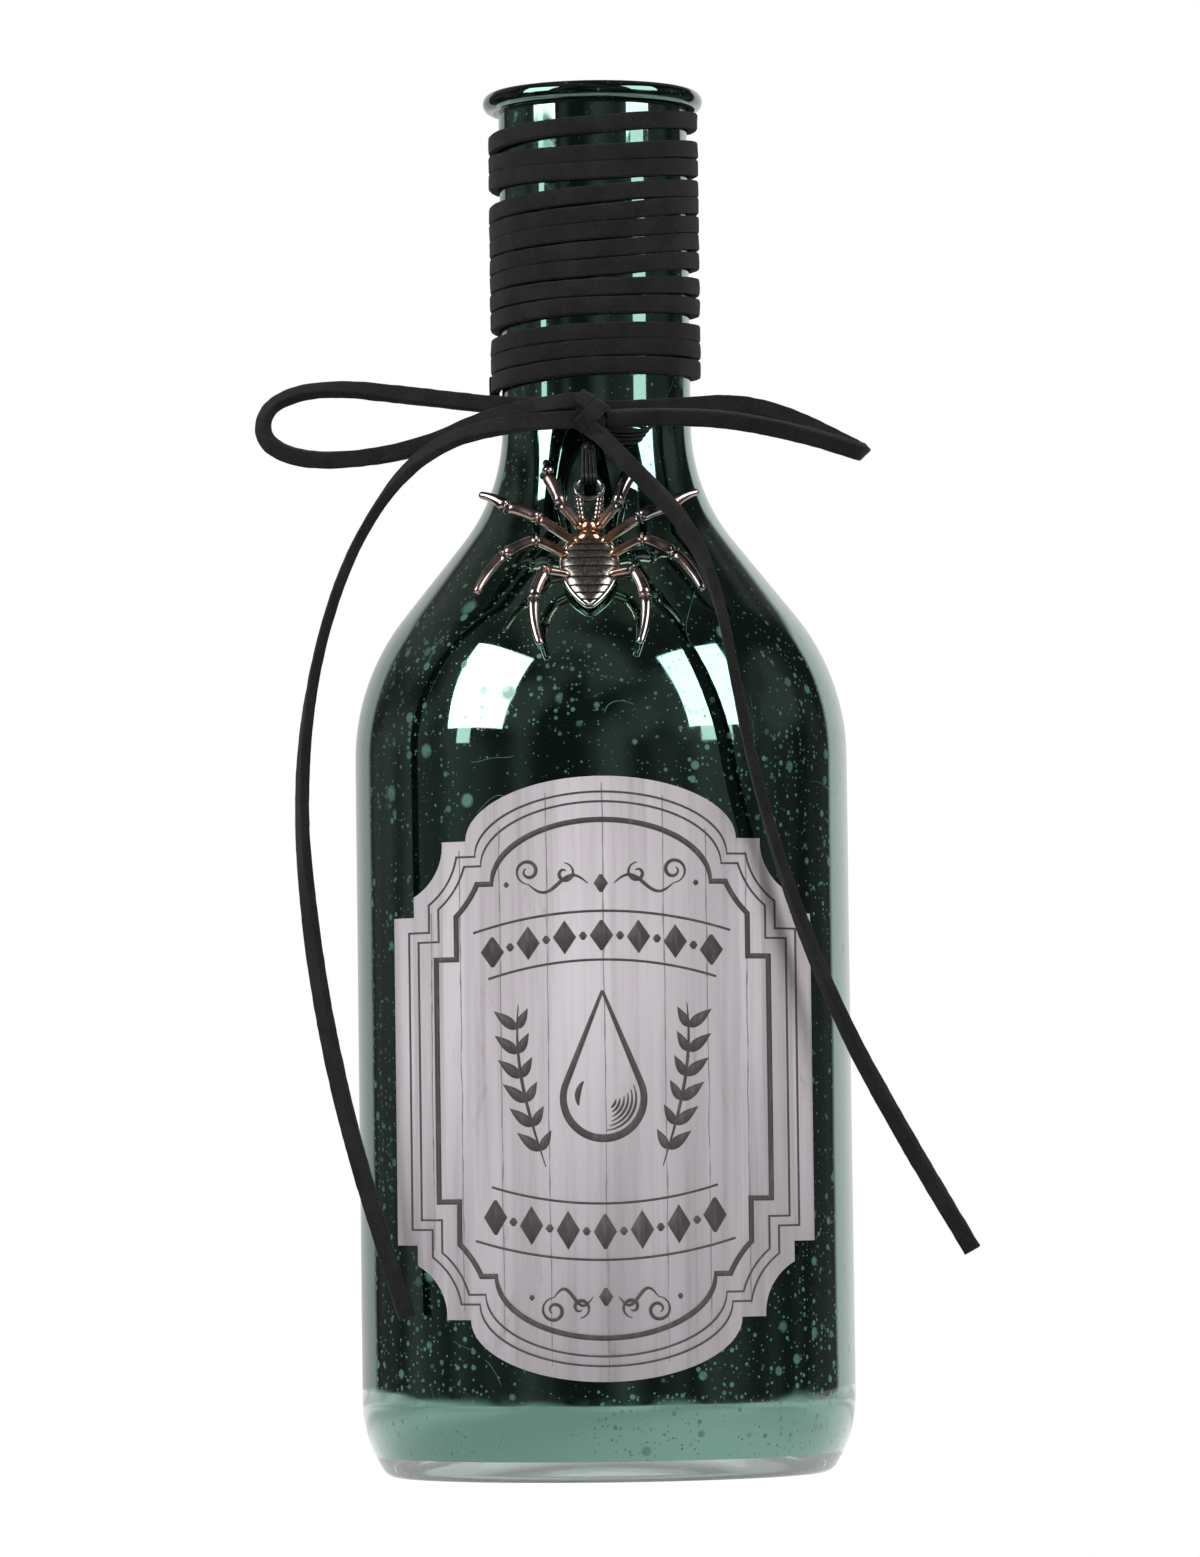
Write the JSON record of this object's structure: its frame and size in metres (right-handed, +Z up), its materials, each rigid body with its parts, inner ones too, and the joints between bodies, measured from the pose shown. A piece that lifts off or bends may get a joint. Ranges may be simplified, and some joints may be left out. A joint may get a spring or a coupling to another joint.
{
  "type": "decorative poison bottle",
  "caption": "Tall round mirrored-glass bottle with a lipped neck wound in flat lace, a front bow, a paper label and a cast spider charm hung on thread over the shoulder",
  "frame": {"origin": "middle of the bottle's foot, on the surface it stands on", "axes": "+Z up along the bottle's axis, -Y out of the label and the bow, +X to the right seen from the front"},
  "size_m": [0.1126, 0.0782, 0.2195],
  "materials": {
    "glass": "green glass, mirror-coated inside, flecked",
    "paper": "matt printed paper, pale lilac-grey wood grain with dark border lines",
    "lace": "black suede, matt",
    "thread": "black shiny elastic thread",
    "charm_metal": "cast zinc alloy, bright dark-nickel plating with coppery tints"
  },
  "bodies": {
    "bottle": {"bottle_glass": "glass", "bottle_neck": "glass", "label": "paper", "lace_winding": "lace", "lace_lead": "lace", "lace_knot": "lace", "lace_loop_left": "lace", "lace_loop_right": "lace", "lace_tail_left": "lace", "lace_tail_right": "lace"},
    "thread": {"hanger_thread": "thread"},
    "charm": {"spider_charm": "charm_metal"}
  },
  "joints": [
    {"name": "charm_lift", "type": "hinge", "parent": "bottle", "child": "thread", "pos_m": [-0.0012, -0.0191, 0.16094], "axis": [-1, 0, 0], "range_deg": [0, 35], "deforming": ["lace_tail_right"]},
    {"name": "charm_swing", "type": "hinge", "parent": "thread", "child": "charm", "pos_m": [-0.0012, -0.02025, 0.15459], "axis": [0, -0.8367, 0.5477], "range_deg": [-20, 20]}
  ]
}
